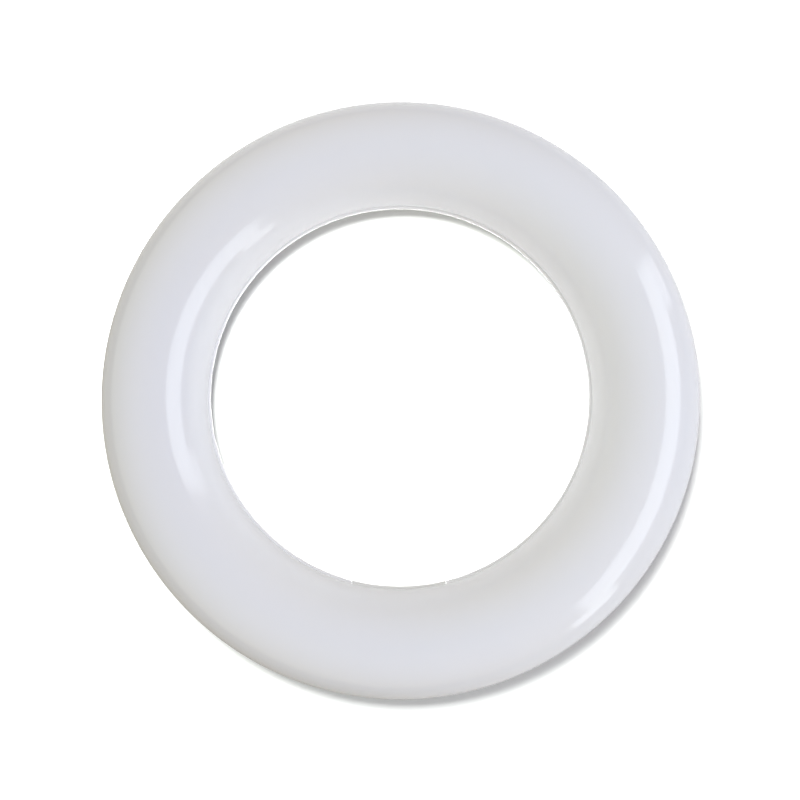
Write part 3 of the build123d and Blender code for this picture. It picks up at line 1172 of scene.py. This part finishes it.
@dataclass(frozen=True)
class Panel:
    """Flat soft light, given by where it is and how bright it looks."""

    name: str
    centre: Place
    size: tuple[float, float]
    radiance: float
    colour: Colour = WHITE
    target: Place = (0.0, 0.0, 0.0)
    reach: Reach = Reach.LAMP
    from_below: bool = False         # passes through the floor and lights only what it meets first

    WATTS_A_RADIANCE = 4.0           # power of a square metre of panel that looks as bright as 1

    def build(self, floor: bpy.types.Object) -> None:
        """Makes the light.

        Args:
            floor: the floor, which the light either spares or has to itself.
        """
        lamp = bpy.data.lights.new(self.name, "AREA")
        lamp.shape = "RECTANGLE"
        lamp.size, lamp.size_y = self.size
        lamp.energy = self.radiance * self.size[0] * self.size[1] * self.WATTS_A_RADIANCE
        lamp.color = self.colour
        piece = placed(self.name, lamp)
        piece.location = self.centre
        aim = Vector(self.target) - Vector(self.centre)
        piece.rotation_euler = aim.to_track_quat("-Z", "Y").to_euler()
        piece.visible_camera = False
        piece.light_linking.receiver_collection = self.linked("receivers", floor, self.reach)
        if self.from_below:
            piece.light_linking.blocker_collection = self.linked("blockers", floor, Reach.LAMP)
            lamp.cycles.max_bounces = 0
        log.info("%s: radiance %.2f", self.name, self.radiance)

    def linked(self, role: str, floor: bpy.types.Object, reach: Reach) -> bpy.types.Collection:
        """Collection that tells the light what it has to do with the floor.

        Args:
            role: what the collection is for.
            floor: the floor.
            reach: whether the floor alone belongs to it, or all but the floor.

        Returns:
            The collection.
        """
        made = bpy.data.collections.new(f"{self.name}_{role}")
        made.objects.link(floor)
        made.collection_objects[0].light_linking.link_state = reach.value
        return made


@dataclass(frozen=True)
class Pane:
    """Part of the window, by the angles at which its edges are seen from the ring."""

    name: str
    azimuths: tuple[float, float]    # of its two sides
    zeniths: tuple[float, float]     # of its upper and lower edge, from straight up, at azimuth 0
    radiance: float


@dataclass
class Studio:
    """Pale floor, white surroundings and soft lights."""

    dome: Colour = (0.08, 0.08, 0.14)
    dome_slopes: tuple[tuple[Place, Colour], ...] = (       # direction, and the light added towards it
        ((-1.0, 0.0, 0.0), (0.48, 0.49, 0.32)),
        ((-0.8, 0.0, 0.6), (0.31, 0.34, 0.35)),
        ((0.0, 1.0, 0.0), (0.31, 0.2, 0.0)),
        ((0.0, 0.8, 0.6), (0.22, 0.23, 0.18)),
        ((0.0, -1.0, 0.0), (0.5, 0.4, 0.14)),
        ((0.0, 0.0, 1.0), (0.01, 0.02, 0.18)))
    floor_half: float = 3.0
    floor_drop: float = 0.02 * MM
    floor_colour: Colour = (0.42, 0.42, 0.42)
    # painted shade: darker paper towards the lower left, for the light that the floor throws back onto the
    # ring
    floor_painted_shade_colour: Colour = (0.2, 0.19, 0.165)
    floor_painted_shade_side: Place = (-0.87, -0.5, 0.0)
    floor_painted_shade_reach: tuple[float, float] = (-0.01, 0.09)
    floor_seen: Colour = (0.94, 0.97, 0.94)
    floor_white_reach: tuple[float, float] = (150 * MM, 300 * MM)
    window_distance: float = 0.5
    window_colour: Colour = (0.885, 0.943, 1.0)
    window: tuple[Pane, ...] = (
        Pane("window_pane", (-48.0, 32.0), (33.0, 65.0), 2.12),
        Pane("window_left_strip", (21.0, 32.0), (65.0, 86.0), 1.54),
        Pane("window_right_strip", (-52.0, -40.0), (65.0, 87.0), 2.08))
    shade_azimuth: float = 121.0     # the light that casts the shadow hangs over the edge of the hole there
    shade_offset: float = -22.5 * MM
    shade_height: float = 274 * MM
    shade_size: float = 56 * MM
    shade_level: float = 1.5         # how bright white paper looks right under it
    under_distance: float = 1.5
    under_share: float = 0.3         # side of the light from below over its distance
    under_level: float = 0.4         # how bright white paper that faces straight down looks

    def floor(self) -> bpy.types.Object:
        """Makes the floor, which keeps the shadow, looks white where no shadow falls and far away, and has
        painted shade towards the lower left in the light that it throws back.

        Returns:
            The floor.
        """
        half = self.floor_half
        corners = [Vector((x * half, y * half, -self.floor_drop))
                   for x, y in ((-1, -1), (1, -1), (1, 1), (-1, 1))]
        mesh = mesh_from(corners, [(0, 1, 2, 3)])
        made = bpy.data.materials.new("floor_paper")
        made.use_nodes = True
        graph = Graph(made.node_tree)
        seen = graph.add("ShaderNodeLightPath", output="Is Camera Ray")
        behind = graph.add("ShaderNodeNewGeometry", output="Backfacing")
        # painted shade: the paper that lights the ring darkens towards the lower left, while the camera sees
        # it evenly
        painted_shade = graph.place().dot(self.floor_painted_shade_side).eased(*self.floor_painted_shade_reach)
        lighting = graph.mix(painted_shade, self.floor_colour, self.floor_painted_shade_colour)
        colour = graph.mix(seen, lighting, self.floor_seen)
        paper = graph.add("ShaderNodeBsdfDiffuse", inputs={"Color": colour})
        white = graph.add("ShaderNodeEmission", inputs={"Color": (*WHITE, 1.0), "Strength": 1.0})
        far = graph.place().length().eased(*self.floor_white_reach) * seen
        front = graph.add("ShaderNodeMixShader", inputs={0: far, 1: paper, 2: white})
        clear = graph.add("ShaderNodeBsdfTransparent")
        surface = graph.add("ShaderNodeMixShader", inputs={0: seen * behind, 1: front, 2: clear})
        graph.add("ShaderNodeOutputMaterial", inputs={"Surface": surface})
        mesh.materials.append(made)
        piece = placed("floor", mesh)
        return piece

    def surroundings(self) -> None:
        """Makes the world: a dome of light, brighter on some sides, that the camera sees as white."""
        world = bpy.data.worlds.new("surroundings")
        world.use_nodes = True
        bpy.context.scene.world = world
        graph = Graph(world.node_tree)
        seen = graph.add("ShaderNodeLightPath", output="Is Camera Ray")
        direction = graph.add("ShaderNodeTexCoord", output="Generated")
        plain = graph.mix(seen, self.dome, WHITE)
        dome = graph.add("ShaderNodeBackground", inputs={"Color": plain, "Strength": 1.0})
        for side, colour in self.dome_slopes:
            strength = direction.dot(side).floored(0.0) * (1 - seen)
            slope = graph.add("ShaderNodeBackground", inputs={"Color": (*colour, 1.0), "Strength": strength})
            dome = graph.add("ShaderNodeAddShader", inputs={0: dome, 1: slope})
        graph.add("ShaderNodeOutputWorld", inputs={"Surface": dome})

    def window_panel(self, pane: Pane) -> Panel:
        """Part of the window, on an upright plane across +X.

        Args:
            pane: its edges and how bright it looks.

        Returns:
            The panel.
        """
        distance = self.window_distance
        sides = [distance * tan(radians(azimuth)) for azimuth in pane.azimuths]
        high, low = [distance / tan(radians(zenith)) for zenith in pane.zeniths]
        centre = (distance, sum(sides) / 2, (high + low) / 2)
        size = (abs(sides[1] - sides[0]), high - low)
        return Panel(pane.name, centre, size, pane.radiance, self.window_colour, (0.0, centre[1], centre[2]))

    def shade_panel(self, ring: Ring) -> Panel:
        """Small light over the upper left of the hole, for the floor alone, so that the ring shades it.

        Args:
            ring: the ring's shared sizes.

        Returns:
            The panel.
        """
        foot, size = ring.point(self.shade_azimuth, self.shade_offset, 0.0), self.shade_size
        radiance = self.shade_level / ((size / self.shade_height) ** 2 / pi)
        return Panel("shade_light", (foot.x, foot.y, self.shade_height), (size, size), radiance,
                     target=(foot.x, foot.y, 0.0), reach=Reach.FLOOR)

    def under_panel(self) -> Panel:
        """Light from below for the underside, which the floor would keep dark in a view from there.

        Returns:
            The panel.
        """
        distance, size = self.under_distance, self.under_distance * self.under_share
        return Panel("under_light", (0.0, 0.0, -distance), (size, size),
                     self.under_level * pi / self.under_share ** 2, from_below=True)

    def build(self, ring: Ring) -> None:
        """Makes the studio.

        Args:
            ring: the ring's shared sizes.
        """
        floor = self.floor()
        self.surroundings()
        panels = [self.window_panel(pane) for pane in self.window]
        for panel in (*panels, self.shade_panel(ring), self.under_panel()):
            panel.build(floor)


@dataclass
class ViewPoint:
    """Camera close above the ring, nearly on its axis."""

    lean_x: float = -3.94
    lean_y: float = -1.09
    distance: float = 231 * MM
    lens: float = 37.58
    sensor: float = 36.0
    shift: tuple[float, float] = (0.0013, -0.0069)
    clips: tuple[float, float] = (0.01, 20.0)

    def build(self, seam: float) -> None:
        """Makes the camera.

        Args:
            seam: height of the point that it looks at.
        """
        turn = Matrix.Rotation(radians(self.lean_y), 3, "Y") @ Matrix.Rotation(radians(self.lean_x), 3, "X")
        axes = turn.transposed()
        camera = bpy.data.cameras.new("camera")
        camera.lens, camera.sensor_width = self.lens, self.sensor
        camera.shift_x, camera.shift_y = self.shift
        camera.clip_start, camera.clip_end = self.clips
        piece = placed("camera", camera)
        place = axes @ Vector((0.0, 0.0, self.distance)) + Vector((0.0, 0.0, seam))
        piece.matrix_world = Matrix.Translation(place) @ axes.to_4x4()
        bpy.context.scene.camera = piece


def sealed_finishes(ring: Ring) -> dict[str, Finish]:
    """Finish of each node of the driver and its leads.

    Args:
        ring: the ring's shared sizes.

    Returns:
        Finishes by node name.
    """
    fuse = middle_of("fuse_resistor")
    black = Finish("black_package", (0.03, 0.03, 0.032), (0.04, 0.04, 0.042), 0.5, grain=Grain.SPARKED,
                   grain_size=0.15 * MM, grain_depth=0.01 * MM, drift_size=3 * MM, seed=31.0)
    sleeve = Finish("capacitor_sleeve", (0.05, 0.06, 0.09), (0.06, 0.07, 0.11), 0.22, coat=0.4,
                    grain_size=1.2 * MM, grain_depth=0.02 * MM, drift_size=4 * MM, seed=33.0)
    lead_grain = {"grain_size": 0.8 * MM, "grain_depth": 0.012 * MM, "drift_size": 6 * MM}
    black_lead = Finish("lead_black", (0.03, 0.03, 0.03), (0.045, 0.045, 0.045), 0.3, seed=44.0,
                        **lead_grain)
    return {
        "driver_board": BoardFinish(
            "driver_green", (0.06, 0.24, 0.11), (0.07, 0.28, 0.13), 0.3, coat=0.5, grain_depth=0.05 * MM,
            centre_radius=ring.centre_radius, track_colour=(0.13, 0.38, 0.2), track_pitch=1.9 * MM,
            break_sweep=5.0, weave_share=0.3, seed=30.0),
        "bridge_rectifier": black,
        "driver_chip": black,
        "chip_resistors": black,
        "input_capacitor": sleeve,
        "output_capacitor": sleeve,
        "film_capacitor": Finish(
            "film_box", (0.75, 0.6, 0.12), (0.7, 0.54, 0.1), 0.42, grain=Grain.SPARKED, grain_size=0.3 * MM,
            grain_depth=0.015 * MM, drift_size=4 * MM, seed=34.0),
        "choke_core": Finish(
            "ferrite", (0.09, 0.09, 0.095), (0.06, 0.06, 0.065), 0.48, grain=Grain.GRANULAR,
            grain_size=0.16 * MM, grain_depth=0.02 * MM, drift_size=2 * MM, seed=35.0),
        # painted shade: the winding's finish darkens the gaps between the turns of wire
        "choke_winding": RingedFinish(
            "copper_wire", (0.66, 0.28, 0.12), (0.72, 0.33, 0.15), 0.28, metallic=1.0, coat=0.6,
            grain_depth=0.1 * MM, pitch=0.25 * MM, groove_shade_colour=(0.16, 0.05, 0.02), groove_shade_share=0.8,
            seed=36.0),
        "fuse_resistor": BandedFinish(
            "resistor_body", (0.2, 0.32, 0.46), (0.22, 0.35, 0.5), 0.35, coat=0.3, grain_size=0.5 * MM,
            grain_depth=0.015 * MM, centre=(fuse.x, fuse.y), azimuth=degrees(atan2(fuse.y, fuse.x)),
            seed=37.0),
        "insulation_sheet": Finish(
            "insulation_film", (0.82, 0.82, 0.74), (0.78, 0.78, 0.68), 0.38, grain_size=2.5 * MM,
            grain_depth=0.03 * MM, drift_size=8 * MM, seed=38.0),
        "lead_live": Finish("lead_red", (0.55, 0.04, 0.03), (0.6, 0.05, 0.04), 0.3, seed=42.0,
                            **lead_grain),
        "lead_neutral": black_lead,
        "lead_negative": black_lead,
        "lead_positive": Finish("lead_white", (0.85, 0.85, 0.83), (0.82, 0.82, 0.79), 0.3, seed=43.0,
                                **lead_grain),
    }


def main() -> None:
    """Builds the lamp, its studio and the camera."""
    logging.basicConfig(level=logging.INFO, format="%(name)s %(message)s")
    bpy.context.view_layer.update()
    bpy.context.scene.view_settings.view_transform = "Standard"
    ring = Ring()
    opal = OpalFinish("opal_cover", (0.82, 0.83, 0.85), (0.83, 0.835, 0.845), 0.125, roughness_spread=0.02,
                      coat=0.0, index=1.56, drift_size=45 * MM, grain_size=1.1 * MM, grain_depth=0.05 * MM)
    shell = Finish("white_shell", (0.9, 0.9, 0.9), (0.89, 0.89, 0.885), 0.14, roughness_spread=0.03,
                   index=1.6, drift_size=35 * MM, grain_size=0.5 * MM, grain_depth=0.01 * MM, seed=10.0)
    cap = Finish("cap_white", (0.82, 0.82, 0.8), (0.81, 0.81, 0.785), 0.42, grain=Grain.SPARKED,
                 grain_size=0.25 * MM, grain_depth=0.02 * MM, seed=13.0)
    # painted shade: the brass is darkened in its turned grooves
    brass = RingedFinish("pin_brass", (0.72, 0.58, 0.32), (0.66, 0.5, 0.26), 0.3, metallic=1.0,
                         grain_depth=0.004 * MM, drift_size=2.5 * MM, seed=16.0)
    DiffuserCover(ring, opal).build()
    BackShell(ring, shell).build()
    LampCap(ring, cap, brass).build()
    Lighting(
        board=BoardFinish("board_white", (0.86, 0.86, 0.85), (0.84, 0.84, 0.83), 0.35, coat=0.3,
                          grain_depth=0.05 * MM, centre_radius=ring.centre_radius,
                          track_colour=(0.9, 0.9, 0.89), weave_share=0.0, seed=20.0),
        frame_finish=Finish("led_frame", (0.88, 0.87, 0.8), (0.85, 0.84, 0.76), 0.4, drift_size=2 * MM,
                            grain_size=0.2 * MM, seed=22.0),
        phosphor=Finish("phosphor", (0.92, 0.75, 0.2), (0.88, 0.68, 0.14), 0.45, grain=Grain.GRANULAR,
                        grain_size=0.12 * MM, grain_depth=0.02 * MM, drift_size=0.8 * MM, seed=24.0),
        link=Finish("link_metal", (0.7, 0.7, 0.68), (0.62, 0.62, 0.61), 0.34, metallic=1.0,
                    drift_size=1.5 * MM, grain_size=0.3 * MM, grain_depth=0.01 * MM, seed=26.0),
        screw=Finish("screw_steel", (0.66, 0.66, 0.65), (0.62, 0.63, 0.66), 0.3, metallic=1.0,
                     drift_size=1.2 * MM, grain_size=0.25 * MM, grain_depth=0.006 * MM, seed=28.0)).dress()
    Driver(sealed_finishes(ring)).dress()
    Studio().build(ring)
    ViewPoint().build(ring.seam)


if __name__ == "__main__":
    main()
